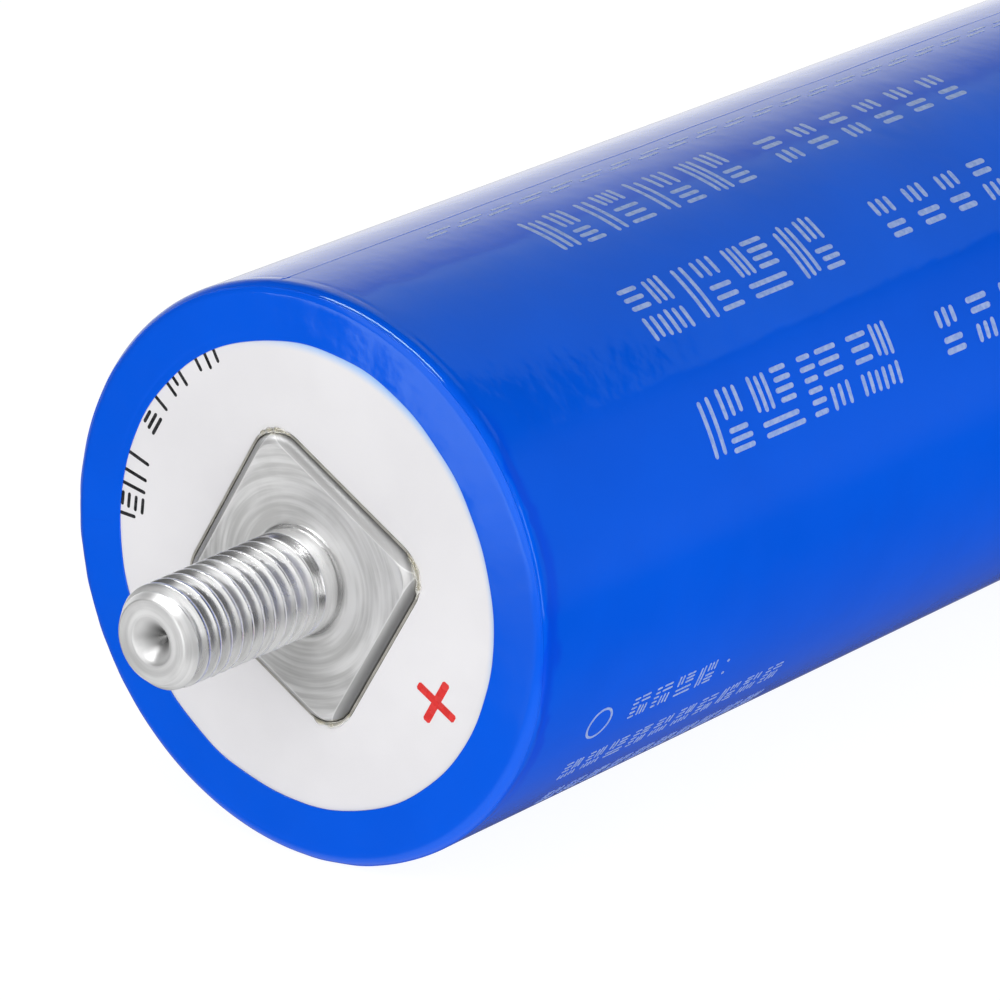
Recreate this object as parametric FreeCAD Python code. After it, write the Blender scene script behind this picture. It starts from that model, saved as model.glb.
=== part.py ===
"""Cylindrical battery cell, 66 mm across and 160 mm long, with a threaded stud at each end.

The cell lies on its side. Its axis runs along Y, the positive end faces -Y, +Z is up, and the
origin is the middle of the cell. All lengths are in millimetres.

The pieces of one end are drawn in an end frame first: local Z is the distance outwards from the
cell's mid-plane, called "out" below, and local X and Y span the end face. `at_end` turns such a
piece onto the positive or the negative end. Both ends are the same part turned half a turn, so
both studs have the same right-hand thread.
"""

import FreeCAD, Part
import math
import os

# ---- driving dimensions -------------------------------------------------------------------
CELL_DIAMETER = 66.0
CELL_LENGTH = 160.0
STUD_REACH = 24.55
THREAD_DIAMETER = 12.0
THREAD_PITCH = 1.75
THREAD_DEPTH = 0.6134 * THREAD_PITCH
FLANGE_WIDTH = 25.5
FLANGE_TURN = 59.0
SLIP = 0.05

R_CELL = CELL_DIAMETER / 2
OUT_CELL = CELL_LENGTH / 2

# ---- heat-shrink sleeve -------------------------------------------------------------------
FILM = 0.2
SHOULDER = 1.4
R_LIP = 26.4
LIP_STEP = 0.06

# ---- can, with both rims rolled inwards over the covers --------------------------------------
CAN_WALL = 0.8
R_CAN = R_CELL - FILM
R_BORE = R_CAN - CAN_WALL
R_RIM = 27.3
OUT_RIM = OUT_CELL - FILM
OUT_SEAT = OUT_RIM - CAN_WALL

# ---- end cover with its pocket for the square terminal -------------------------------------
COVER_THICK = 3.5
OUT_COVER_IN = OUT_SEAT - COVER_THICK
POCKET_DEPTH = 1.4
OUT_POCKET = OUT_SEAT - POCKET_DEPTH
R_COVER = R_BORE - SLIP

# ---- terminal: square flange, threaded stud, shank and riveted head --------------------------
FLANGE_HALF = FLANGE_WIDTH / 2
FLANGE_CORNER = 4.1
FLANGE_ROUND = 1.6
FLANGE_CREASE = 1.15
OUT_FLANGE = OUT_CELL + 0.81
R_COLLAR = THREAD_DIAMETER / 2
COLLAR_LENGTH = 2.3
UNDERCUT_WIDTH = 0.25
UNDERCUT_DEPTH = 0.1
CREST_FALL = 0.13
R_CREST_TIP = R_COLLAR - CREST_FALL
R_ROOT = R_COLLAR - THREAD_DEPTH
RUN_OUT = 1.75
OUT_TIP = OUT_CELL + STUD_REACH
R_TIP = 4.64
TIP_CHAMFER = 1.64
PIT_RADIUS = 2.6
PIT_DEPTH = 2.6
THREAD_PHASE = 96.0
GROOVE_PROUD = 0.12
CUT_MARGIN = 1.2
SHANK_ROOT = 1.0
R_RIVET = 8.0
RIVET_THICK = 1.0
RIVET_BEVEL = 0.5

# ---- insulating tray under the flange --------------------------------------------------------
TRAY_FLOOR = 0.6
TRAY_WALL = 0.27
TRAY_PLAY = 0.03
TRAY_HALF = FLANGE_HALF + TRAY_PLAY + TRAY_WALL
TRAY_CORNER = FLANGE_CORNER + TRAY_PLAY + TRAY_WALL
R_TRAY_TUBE = 7.4
TUBE_OVERLAP = 0.1
OUT_TRAY = OUT_CELL - 0.14

# ---- white disc on the end face --------------------------------------------------------------
DISC_SINK = 0.02
DISC_PLAY = 0.15
OUT_DISC = OUT_RIM - DISC_SINK
R_DISC = R_RIM - DISC_PLAY

# ---- inner insulator, collector and washer below the cover --------------------------------
INSULATOR_THICK = 1.1
SKIRT_WALL = 1.6
SKIRT_GAP = 0.6
GAS_HOLES = 8
GAS_HOLE_RADIUS = 2.4
GAS_HOLE_ORBIT = 17.0
GAS_HOLE_TURN = 10.0
COLLECTOR_THICK = 1.1
COLLECTOR_HUB = 11.0
COLLECTOR_WALL = 1.2
COLLECTOR_RADIUS = 29.0
COLLECTOR_HOLES = 6
COLLECTOR_HOLE_RADIUS = 4.0
COLLECTOR_LIFT = 0.02
WASHER_THICK = 0.6
WASHER_RIM = 0.8
OUT_INSULATOR = OUT_COVER_IN - SLIP
OUT_HUB = OUT_INSULATOR - INSULATOR_THICK - SLIP
OUT_WASHER = OUT_HUB - COLLECTOR_THICK - SLIP
OUT_RIVET = OUT_WASHER - WASHER_THICK - SLIP
OUT_ROLL = OUT_RIVET - RIVET_THICK - SKIRT_GAP

# ---- vent and filling port, both in the negative cover ----------------------------------------
PORT_ORBIT = 20.5
VENT_ANGLE = FLANGE_TURN + 90.0
FILL_ANGLE = FLANGE_TURN - 90.0
R_VENT_SEAT = 5.0
R_VENT_HOLE = 3.8
VENT_RECESS = 1.2
VENT_THICK = 0.4
SCORE_WIDTH = 0.3
SCORE_REACH = 1.6 * R_VENT_HOLE
R_FILL_PORT = 1.6
R_FILL_CAP = 3.2
FILL_CAP_THICK = 0.6

# ---- winding: twelve thick turns stand in for about a hundred thin ones ----------------------
R_CORE_BORE = 3.0
R_CORE = 4.0
TURNS = 12
R_ROLL = 30.9
LAYER_PITCH = (R_ROLL - R_CORE - 2 * SLIP) / (TURNS + 1)
SHEET_THICK = 0.36 * LAYER_PITCH
FILM_THICK = 0.14 * LAYER_PITCH
LAYER_GAP = 0.03
FOIL_OVERHANG = 2.0
SEPARATOR_OVERHANG = 1.0
WRAP_THICK = 0.3

ORIGIN = FreeCAD.Vector(0, 0, 0)
AXIS_X = FreeCAD.Vector(1, 0, 0)
AXIS_Z = FreeCAD.Vector(0, 0, 1)


# ---- helpers ---------------------------------------------------------------------------------
def point(x, y, z):
    return FreeCAD.Vector(x, y, z)


def turned(profile):
    """Solid of revolution about local Z from (radius, out) points."""
    wire = Part.makePolygon([point(r, 0, z) for r, z in profile + profile[:1]])
    return Part.Face(wire).revolve(ORIGIN, AXIS_Z, 360)


def disc(radius, out_low, out_high, x=0.0, y=0.0):
    """Plain round bar between two distances out."""
    return Part.makeCylinder(radius, out_high - out_low, point(x, y, out_low))


def ring(inner, outer, out_low, out_high):
    return disc(outer, out_low, out_high).cut(disc(inner, out_low - 1, out_high + 1))


def square(half, corner, out_low, out_high):
    """Prism with rounded corners, turned to the terminal's own angle."""
    bar = Part.makeBox(2 * half, 2 * half, out_high - out_low, point(-half, -half, out_low))
    uprights = [e for e in bar.Edges if abs(e.tangentAt(e.FirstParameter).z) > 0.9]
    bar = bar.makeFillet(corner, uprights)
    bar.rotate(ORIGIN, AXIS_Z, FLANGE_TURN)
    return bar


def on_orbit(angle, orbit=PORT_ORBIT):
    a = math.radians(angle)
    return orbit * math.cos(a), orbit * math.sin(a)


def at_end(shape, end):
    """Turn a piece from the end frame onto the positive (-Y) or negative (+Y) end."""
    placed = shape.copy()
    placed.rotate(ORIGIN, AXIS_X, 90)
    if end == "negative":
        placed.rotate(ORIGIN, AXIS_Z, 180)
    return placed


# ---- case ------------------------------------------------------------------------------------
def shoulder_arc(radius, corner_r, corner_out):
    """Quarter round from the barrel (radius, lower) to the end face (upper)."""
    centre_r = corner_r - radius
    centre_out = corner_out - radius
    middle = radius * math.sqrt(0.5)
    start = point(corner_r, 0, centre_out)
    through = point(centre_r + middle, 0, centre_out + middle)
    end = point(centre_r, 0, corner_out)
    return Part.Arc(start, through, end).toShape()


def line(a, b):
    return Part.makeLine(point(a[0], 0, a[1]), point(b[0], 0, b[1]))


def shell_half(r_out, wall, out_face, r_hole, shoulder, step_r=None, step=0.0):
    """Half of a tube whose rim turns inwards to r_hole; the other half is its mirror image."""
    r_in = r_out - wall
    out_under = out_face - wall
    edges = [line((r_out, 0), (r_out, out_face - shoulder))]
    edges.append(shoulder_arc(shoulder, r_out, out_face))
    if step_r:
        edges.append(line((r_out - shoulder, out_face), (step_r + step, out_face)))
        edges.append(line((step_r + step, out_face), (step_r, out_face - step)))
        edges.append(line((step_r, out_face - step), (r_hole, out_face - step)))
        edges.append(line((r_hole, out_face - step), (r_hole, out_under)))
    else:
        edges.append(line((r_out - shoulder, out_face), (r_hole, out_face)))
        edges.append(line((r_hole, out_face), (r_hole, out_under)))
    inner = shoulder - wall
    edges.append(line((r_hole, out_under), (r_in - inner, out_under)))
    edges.append(shoulder_arc(inner, r_in, out_under))
    edges.append(line((r_in, out_under - inner), (r_in, 0)))
    edges.append(line((r_in, 0), (r_out, 0)))
    wire = Part.Wire(Part.__sortEdges__(edges))
    return Part.Face(wire).revolve(ORIGIN, AXIS_Z, 360)


def both_halves(half):
    other = half.copy()
    other.rotate(ORIGIN, AXIS_X, 180)
    return half.fuse(other).removeSplitter()


def sleeve():
    half = shell_half(R_CELL, FILM, OUT_CELL, R_LIP, SHOULDER, R_RIM, LIP_STEP)
    return both_halves(half)


def can():
    half = shell_half(R_CAN, CAN_WALL, OUT_RIM, R_RIM, SHOULDER - FILM)
    return both_halves(half)


# ---- terminal --------------------------------------------------------------------------------
def flange():
    """Square with a rounded upper edge, faced flat so that a crease runs round the top."""
    crown = math.sqrt(FLANGE_ROUND**2 - (FLANGE_ROUND - FLANGE_CREASE) ** 2)
    blank_top = OUT_FLANGE + FLANGE_ROUND - crown
    blank = square(FLANGE_HALF, FLANGE_CORNER, OUT_POCKET + TRAY_FLOOR, blank_top)
    rim = [e for e in blank.Edges if e.BoundBox.ZMin > blank_top - 0.001]
    blank = blank.makeFillet(FLANGE_ROUND, rim)
    faced = blank.common(disc(2 * FLANGE_HALF, 0, OUT_FLANGE))
    return faced.cut(ring(R_COLLAR, R_COLLAR + UNDERCUT_WIDTH, OUT_FLANGE - UNDERCUT_DEPTH, OUT_TIP))


def thread_groove(out_start, out_end):
    """Helical V groove with 60 degree flanks and a flat root, a little proud of the stud."""
    mouth = R_COLLAR + GROOVE_PROUD
    root_half = THREAD_PITCH / 12
    mouth_half = root_half + (mouth - R_ROOT) * math.tan(math.radians(30))
    section = [
        (R_ROOT, root_half),
        (R_ROOT, -root_half),
        (mouth, -mouth_half),
        (mouth, mouth_half),
    ]
    profile = Part.makePolygon([point(r, 0, z) for r, z in section + section[:1]])
    helix = Part.makeHelix(THREAD_PITCH, out_end - out_start, R_ROOT)
    groove = Part.Wire(helix.Edges).makePipeShell([profile], True, True)
    groove.translate(point(0, 0, out_start))
    groove.rotate(ORIGIN, AXIS_Z, THREAD_PHASE)
    return groove


def stud():
    """Plain collar, conical run-out, slightly tapered threaded length, chamfered tip and pit."""
    out_collar = OUT_FLANGE + COLLAR_LENGTH
    base = OUT_FLANGE - SHANK_ROOT
    blank = turned([
        (0, base),
        (R_COLLAR, base),
        (R_COLLAR, out_collar),
        (R_CREST_TIP, OUT_TIP - TIP_CHAMFER),
        (R_TIP, OUT_TIP),
        (0, OUT_TIP),
    ])
    fall = (R_COLLAR - R_ROOT) / RUN_OUT
    out_deep = out_collar + (R_COLLAR - R_ROOT + CUT_MARGIN) / fall
    uncut = turned([
        (0, base),
        (R_COLLAR + CUT_MARGIN, base),
        (R_COLLAR + CUT_MARGIN, out_collar - CUT_MARGIN / fall),
        (R_ROOT - CUT_MARGIN, out_deep),
        (0, out_deep),
    ])
    groove = thread_groove(out_collar - THREAD_PITCH / 2, OUT_TIP + THREAD_PITCH).cut(uncut)
    pit = turned([
        (0, OUT_TIP - PIT_DEPTH),
        (PIT_RADIUS, OUT_TIP),
        (PIT_RADIUS, OUT_TIP + CUT_MARGIN),
        (0, OUT_TIP + CUT_MARGIN),
    ])
    return blank.cut(groove).cut(pit)


def terminal():
    out_head = OUT_RIVET - RIVET_THICK
    shank = disc(R_COLLAR, out_head, OUT_FLANGE - SHANK_ROOT / 2)
    head = turned([
        (0, out_head),
        (R_RIVET - RIVET_BEVEL, out_head),
        (R_RIVET, out_head + RIVET_BEVEL),
        (R_RIVET, OUT_RIVET),
        (0, OUT_RIVET),
    ])
    return flange().fuse([stud(), shank, head]).removeSplitter()


def tray():
    """Square cup under the flange, with a tube down the cover's hole."""
    cup = square(TRAY_HALF, TRAY_CORNER, OUT_POCKET, OUT_TRAY)
    room = square(FLANGE_HALF + TRAY_PLAY, FLANGE_CORNER + TRAY_PLAY, OUT_POCKET + TRAY_FLOOR, OUT_TRAY + 1)
    tube = disc(R_TRAY_TUBE, OUT_INSULATOR - INSULATOR_THICK, OUT_POCKET + TUBE_OVERLAP)
    return cup.cut(room).fuse(tube).cut(disc(R_COLLAR + SLIP, 0, OUT_TIP))


# ---- covers and insulation ---------------------------------------------------------------
def port(angle, radius, out_low, out_high):
    x, y = on_orbit(angle)
    return disc(radius, out_low, out_high, x, y)


def cover(end):
    plate = disc(R_COVER, OUT_COVER_IN, OUT_SEAT)
    plate = plate.cut(square(TRAY_HALF + SLIP, TRAY_CORNER + SLIP, OUT_POCKET, OUT_SEAT + 1))
    plate = plate.cut(disc(R_TRAY_TUBE + SLIP, 0, OUT_SEAT))
    if end == "positive":
        return plate
    vent = port(VENT_ANGLE, R_VENT_HOLE, 0, OUT_SEAT + 1)
    recess = port(VENT_ANGLE, R_VENT_SEAT, OUT_SEAT - VENT_RECESS, OUT_SEAT + 1)
    fill = port(FILL_ANGLE, R_FILL_PORT, 0, OUT_SEAT + 1)
    cap_seat = port(FILL_ANGLE, R_FILL_CAP, OUT_SEAT - FILL_CAP_THICK, OUT_SEAT + 1)
    return plate.cut([vent, recess, fill, cap_seat])


def end_disc(end):
    plate = disc(R_DISC, OUT_SEAT, OUT_DISC)
    plate = plate.cut(square(TRAY_HALF + SLIP, TRAY_CORNER + SLIP, 0, OUT_CELL))
    if end == "positive":
        return plate
    return plate.cut(port(VENT_ANGLE, R_VENT_SEAT, 0, OUT_CELL))


def vent_disc():
    """Thin disc with a cross of scored grooves, where it tears open."""
    x, y = on_orbit(VENT_ANGLE)
    low = OUT_SEAT - VENT_RECESS
    plate = disc(R_VENT_SEAT - SLIP, low, low + VENT_THICK, x, y)
    corner = point(-SCORE_REACH / 2, -SCORE_WIDTH / 2, low + VENT_THICK / 2)
    for turn in (45, 135):
        score = Part.makeBox(SCORE_REACH, SCORE_WIDTH, VENT_THICK, corner)
        score.rotate(ORIGIN, AXIS_Z, turn)
        score.translate(point(x, y, 0))
        plate = plate.cut(score)
    return plate


def fill_plug():
    x, y = on_orbit(FILL_ANGLE)
    cap = disc(R_FILL_CAP - SLIP, OUT_SEAT - FILL_CAP_THICK, OUT_SEAT, x, y)
    pin = disc(R_FILL_PORT - SLIP, OUT_COVER_IN, OUT_SEAT - FILL_CAP_THICK / 2, x, y)
    return cap.fuse(pin).removeSplitter()


def inner_insulator():
    """Plate under the cover with a skirt that reaches down to the winding."""
    low = OUT_INSULATOR - INSULATOR_THICK
    plate = ring(R_TRAY_TUBE + SLIP, R_COVER, low, OUT_INSULATOR)
    skirt = ring(R_COVER - SKIRT_WALL, R_COVER, OUT_ROLL + SKIRT_GAP, low + INSULATOR_THICK / 2)
    shape = plate.fuse(skirt).removeSplitter()
    for hole in range(GAS_HOLES):
        x, y = on_orbit(GAS_HOLE_TURN + 360 / GAS_HOLES * hole, GAS_HOLE_ORBIT)
        shape = shape.cut(disc(GAS_HOLE_RADIUS, low - 1, OUT_INSULATOR + 1, x, y))
    return shape


def collector():
    """Dished disc: its hub is riveted to the terminal and its rim lies on the winding's foils."""
    low = OUT_ROLL + COLLECTOR_LIFT
    hub_low = OUT_HUB - COLLECTOR_THICK
    hub_bore = COLLECTOR_HUB - COLLECTOR_WALL
    dish = turned([
        (R_COLLAR + SLIP, hub_low),
        (hub_bore, hub_low),
        (hub_bore, low),
        (COLLECTOR_RADIUS, low),
        (COLLECTOR_RADIUS, low + COLLECTOR_THICK),
        (COLLECTOR_HUB, low + COLLECTOR_THICK),
        (COLLECTOR_HUB, OUT_HUB),
        (R_COLLAR + SLIP, OUT_HUB),
    ])
    for hole in range(COLLECTOR_HOLES):
        x, y = on_orbit(360 / COLLECTOR_HOLES * hole, PORT_ORBIT)
        dish = dish.cut(disc(COLLECTOR_HOLE_RADIUS, low - 1, low + COLLECTOR_THICK + 1, x, y))
    return dish


def washer():
    return ring(R_COLLAR + SLIP, R_RIVET + WASHER_RIM, OUT_WASHER - WASHER_THICK, OUT_WASHER)


# ---- winding ---------------------------------------------------------------------------------
def spiral_edges(offset):
    """Half-turn arcs from the core outwards, all pushed out by offset, with both end points."""
    step = LAYER_PITCH / 2
    first = R_CORE + SLIP + offset
    arcs = []
    for half in range(2 * TURNS):
        odd = half % 2
        centre = point(step * odd, 0, 0)
        circle = Part.Circle(centre, AXIS_Z, first + step * half)
        arcs.append(circle.toShape(math.pi * odd, math.pi * (odd + 1)))
    last = first + LAYER_PITCH * TURNS
    return arcs, point(first, 0, 0), point(last, 0, 0)


def wound_layer(inner, outer, out_low, out_high):
    """Sheet of the winding between two offsets of the spiral."""
    inside, inside_start, inside_end = spiral_edges(inner)
    outside, outside_start, outside_end = spiral_edges(outer)
    start = Part.makeLine(inside_start, outside_start)
    end = Part.makeLine(inside_end, outside_end)
    face = Part.Face(Part.Wire(Part.__sortEdges__(inside + outside + [start, end])))
    face.translate(point(0, 0, out_low))
    return face.extrude(point(0, 0, out_high - out_low))


def winding():
    """Positive sheet, separator, negative sheet and separator, one on the other in every turn."""
    reach = OUT_ROLL
    short = OUT_ROLL - FOIL_OVERHANG
    film_reach = OUT_ROLL - SEPARATOR_OVERHANG
    half_pitch = SHEET_THICK + FILM_THICK
    layers = {}
    layers["positive_electrode"] = wound_layer(0, SHEET_THICK - LAYER_GAP, -short, reach)
    layers["outer_separator"] = wound_layer(
        SHEET_THICK, half_pitch - LAYER_GAP, -film_reach, film_reach)
    layers["negative_electrode"] = wound_layer(
        half_pitch, half_pitch + SHEET_THICK - LAYER_GAP, -reach, short)
    layers["inner_separator"] = wound_layer(
        half_pitch + SHEET_THICK, LAYER_PITCH - LAYER_GAP, -film_reach, film_reach)
    layers["winding_core"] = ring(R_CORE_BORE, R_CORE, -short, short)
    layers["winding_wrap"] = ring(R_ROLL + SLIP, R_ROLL + SLIP + WRAP_THICK, -short, short)
    return layers


# ---- assembly ------------------------------------------------------------------------------
def main():
    nodes = {"heat_shrink_sleeve": at_end(sleeve(), "positive"), "can": at_end(can(), "positive")}
    for end in ("positive", "negative"):
        nodes[end + "_terminal"] = at_end(terminal(), end)
        nodes[end + "_terminal_tray"] = at_end(tray(), end)
        nodes[end + "_end_disc"] = at_end(end_disc(end), end)
        nodes[end + "_cover"] = at_end(cover(end), end)
        nodes[end + "_inner_insulator"] = at_end(inner_insulator(), end)
        nodes[end + "_collector"] = at_end(collector(), end)
        nodes[end + "_rivet_washer"] = at_end(washer(), end)
    nodes["vent_disc"] = at_end(vent_disc(), "negative")
    nodes["fill_plug"] = at_end(fill_plug(), "negative")
    for name, shape in winding().items():
        nodes[name] = at_end(shape, "positive")

    os.makedirs("parts", exist_ok=True)
    for name, shape in nodes.items():
        shape.Solids[0].exportStep("parts/" + name + ".step")
        print(name, len(shape.Solids), shape.isValid(), round(shape.Volume, 2))


main()
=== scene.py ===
"""Looks of the cylindrical battery cell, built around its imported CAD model."""

import math

import bpy
import numpy as np
from mathutils import Matrix, Vector


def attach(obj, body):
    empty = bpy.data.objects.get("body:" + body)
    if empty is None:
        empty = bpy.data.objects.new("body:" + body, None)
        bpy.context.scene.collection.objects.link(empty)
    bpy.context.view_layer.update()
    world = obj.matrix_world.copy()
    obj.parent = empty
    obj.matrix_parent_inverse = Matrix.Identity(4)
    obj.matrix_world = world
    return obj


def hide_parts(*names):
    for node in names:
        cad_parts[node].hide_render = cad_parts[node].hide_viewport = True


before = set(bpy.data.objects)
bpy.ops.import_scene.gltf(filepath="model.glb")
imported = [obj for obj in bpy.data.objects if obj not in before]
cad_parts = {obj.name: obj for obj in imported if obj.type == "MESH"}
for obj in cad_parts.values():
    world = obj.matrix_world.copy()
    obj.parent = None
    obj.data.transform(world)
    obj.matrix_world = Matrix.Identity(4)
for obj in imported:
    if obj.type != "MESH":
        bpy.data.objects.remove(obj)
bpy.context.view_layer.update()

MM = 0.001
SEAM_ANGLE = 96.5  # where the flat tube was folded, in degrees from the +X side
SEED = 7

# ---- sizes in millimetres, as in the CAD source -------------------------------------------------
R_CELL = 33.0
OUT_CELL = 80.0
R_LIP = 26.4
R_RIM = 27.3
FILM = 0.2
SHOULDER = 1.4
OUT_DISC = 79.78
FLANGE_HALF = 12.75
FLANGE_TURN = 59.0
FLANGE_CORNER = 4.1
FLANGE_ROUND = 1.6
FLANGE_CREASE = 1.15
OUT_FLANGE = 80.81
OUT_FLANGE_FOOT = 78.2
R_COLLAR = 6.0
COLLAR_LENGTH = 2.3
OUT_COLLAR = OUT_FLANGE + COLLAR_LENGTH
THREAD_PITCH = 1.75
THREAD_DEPTH = 0.6134 * THREAD_PITCH
R_ROOT = R_COLLAR - THREAD_DEPTH
R_CREST_TIP = 5.87
RUN_OUT = 1.75
OUT_TIP = 104.55
R_TIP = 4.64
TIP_CHAMFER = 1.64
PIT_RADIUS = 2.6
PIT_DEPTH = 2.6
THREAD_PHASE = 96.0
GROOVE_START = OUT_COLLAR - THREAD_PITCH / 2
R_RIVET = 8.0
RIVET_THICK = 1.0

# ---- sizes in millimetres that only the looks need ----------------------------------------------
OUT_HEAD_TOP = 72.55  # underside of the washer, which the riveted head touches
FILM_SINK = 0.045  # keeps the film's waves and creases inside the CAD's outline
LIP_STEP = 0.035  # how far the film steps down from the can's rim onto the disc
STEP_START = 0.35  # how far outside the edge of the can's rim that step begins
STEP_WIDTH = 0.5
LIP_ROUND = 0.06
RING_BLEND = 0.6  # the cut of the lip fades out this far outside the same edge
FACING = 0.004  # how far the flange's face lies under its nominal height
BURR = 0.012
PRINT_SINK = 0.05  # prints and folds are measured up from this far under the outline
INK_TOP = 0.035
INK_UNDER = -0.03
MARK_WIDTH = 0.42

FLOOR_Z = -0.033


# ---- mesh helpers ---------------------------------------------------------------------------
def make_object(name, points, faces, material, smooth=True):
    """A mesh object that rides on the cell; points are in metres, in the row frame."""
    mesh = bpy.data.meshes.new(name)
    mesh.from_pydata([tuple(p) for p in points], [], faces)
    mesh.validate()
    mesh.update()
    if smooth:
        mesh.polygons.foreach_set("use_smooth", [True] * len(mesh.polygons))
    mesh.materials.append(material)
    piece = bpy.data.objects.new(name, mesh)
    bpy.context.scene.collection.objects.link(piece)
    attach(piece, "root")
    return piece


def at_end(points, end):
    """End-frame points (x, y, out) in millimetres to the row frame in metres."""
    points = np.asarray(points, float)
    x, y, out = points[..., 0], points[..., 1], points[..., 2]
    if end == "positive":
        return np.stack([x, -out, y], -1) * MM
    return np.stack([-x, out, y], -1) * MM


def tube_faces(rings, count, joined=False):
    """Quads between rings of equal length; rings that aren't joined are closed by two fans."""
    faces = []
    last = rings if joined else rings - 1
    for m in range(last):
        a = m * count
        b = ((m + 1) % rings) * count
        for i in range(count):
            j = (i + 1) % count
            faces.append((a + i, a + j, b + j, b + i))
    if not joined:
        low, high = rings * count, rings * count + 1
        top = (rings - 1) * count
        for i in range(count):
            j = (i + 1) % count
            faces.append((low, j, i))
            faces.append((high, top + i, top + j))
    return faces


def ripple(angle, along, rng, waves, longest, shortest):
    """Smooth random surface: a sum of waves round the cell and along it, about 1 high."""
    total = np.zeros(np.broadcast(angle, along).shape)
    for _ in range(waves):
        around = rng.integers(longest, shortest)
        lengthwise = rng.uniform(-0.25, 0.25)
        total = total + np.sin(around * angle + lengthwise * along + rng.uniform(0, 2 * math.pi))
    return total / math.sqrt(waves)


def bell(value, centre, width):
    """One at the centre, falling smoothly to nothing on both sides."""
    return np.exp(-((value - centre) / width) ** 2)


def square_radius(angle, half, corner):
    """Distance from the centre to a rounded square's edge, in each direction."""
    quarter = math.pi / 2
    local = np.mod(angle - math.radians(FLANGE_TURN) + quarter / 2, quarter) - quarter / 2
    ux, uy = np.cos(local), np.abs(np.sin(local))
    straight = half / ux
    k = half - corner
    along = k * (ux + uy)
    arc = along + np.sqrt(np.maximum(along**2 - 2 * k**2 + corner**2, 0))
    return np.where(straight * uy <= k, straight, arc)


# ---- shader helpers -------------------------------------------------------------------------
class Shader:
    """A node material with one Principled shader; every value may be a number or a socket."""

    def __init__(self, name):
        self.material = bpy.data.materials.new(name)
        self.material.use_nodes = True
        self.tree = self.material.node_tree
        self.tree.nodes.clear()
        self.output = self.tree.nodes.new("ShaderNodeOutputMaterial")
        self.principled = self.tree.nodes.new("ShaderNodeBsdfPrincipled")
        self.tree.links.new(self.principled.outputs[0], self.output.inputs["Surface"])
        self.place = self.tree.nodes.new("ShaderNodeTexCoord").outputs["Object"]

    def put(self, socket, value):
        if isinstance(value, bpy.types.NodeSocket):
            self.tree.links.new(value, socket)
        elif isinstance(value, tuple) and len(value) == 3 and socket.type == "RGBA":
            socket.default_value = (*value, 1.0)
        else:
            socket.default_value = value

    def set(self, **values):
        for name, value in values.items():
            self.put(self.principled.inputs[name.replace("_", " ")], value)
        return self

    def math(self, operation, a, b=0.0, clamp=False):
        node = self.tree.nodes.new("ShaderNodeMath")
        node.operation = operation
        node.use_clamp = clamp
        self.put(node.inputs[0], a)
        self.put(node.inputs[1], b)
        return node.outputs[0]

    def spread(self, value, low, high, to_low=0.0, to_high=1.0):
        """Smoothly maps low..high to to_low..to_high."""
        node = self.tree.nodes.new("ShaderNodeMapRange")
        node.interpolation_type = "SMOOTHSTEP"
        for socket, number in zip(node.inputs, (value, low, high, to_low, to_high)):
            self.put(socket, number)
        return node.outputs[0]

    def split(self, vector):
        node = self.tree.nodes.new("ShaderNodeSeparateXYZ")
        self.put(node.inputs[0], vector)
        return node.outputs[0], node.outputs[1], node.outputs[2]

    def join(self, x, y, z):
        node = self.tree.nodes.new("ShaderNodeCombineXYZ")
        for socket, number in zip(node.inputs, (x, y, z)):
            self.put(socket, number)
        return node.outputs[0]

    def noise(self, scale, detail=2.0, vector=None, distortion=0.0):
        node = self.tree.nodes.new("ShaderNodeTexNoise")
        self.put(node.inputs["Vector"], self.place if vector is None else vector)
        node.inputs["Scale"].default_value = scale
        node.inputs["Detail"].default_value = detail
        node.inputs["Distortion"].default_value = distortion
        return node.outputs["Fac"]

    def mix(self, factor, a, b):
        node = self.tree.nodes.new("ShaderNodeMix")
        node.data_type = "RGBA"
        self.put(node.inputs[0], factor)
        self.put(node.inputs[6], a)
        self.put(node.inputs[7], b)
        return node.outputs[2]

    def bump(self, height, distance, strength=1.0, normal=None):
        node = self.tree.nodes.new("ShaderNodeBump")
        self.put(node.inputs["Height"], height)
        node.inputs["Distance"].default_value = distance
        node.inputs["Strength"].default_value = strength
        if normal is not None:
            self.put(node.inputs["Normal"], normal)
        return node.outputs[0]


def radius_from_axis(shader):
    x, _, z = shader.split(shader.place)
    return shader.math("SQRT", shader.math("ADD", shader.math("MULTIPLY", x, x),
                                           shader.math("MULTIPLY", z, z)))


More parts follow.
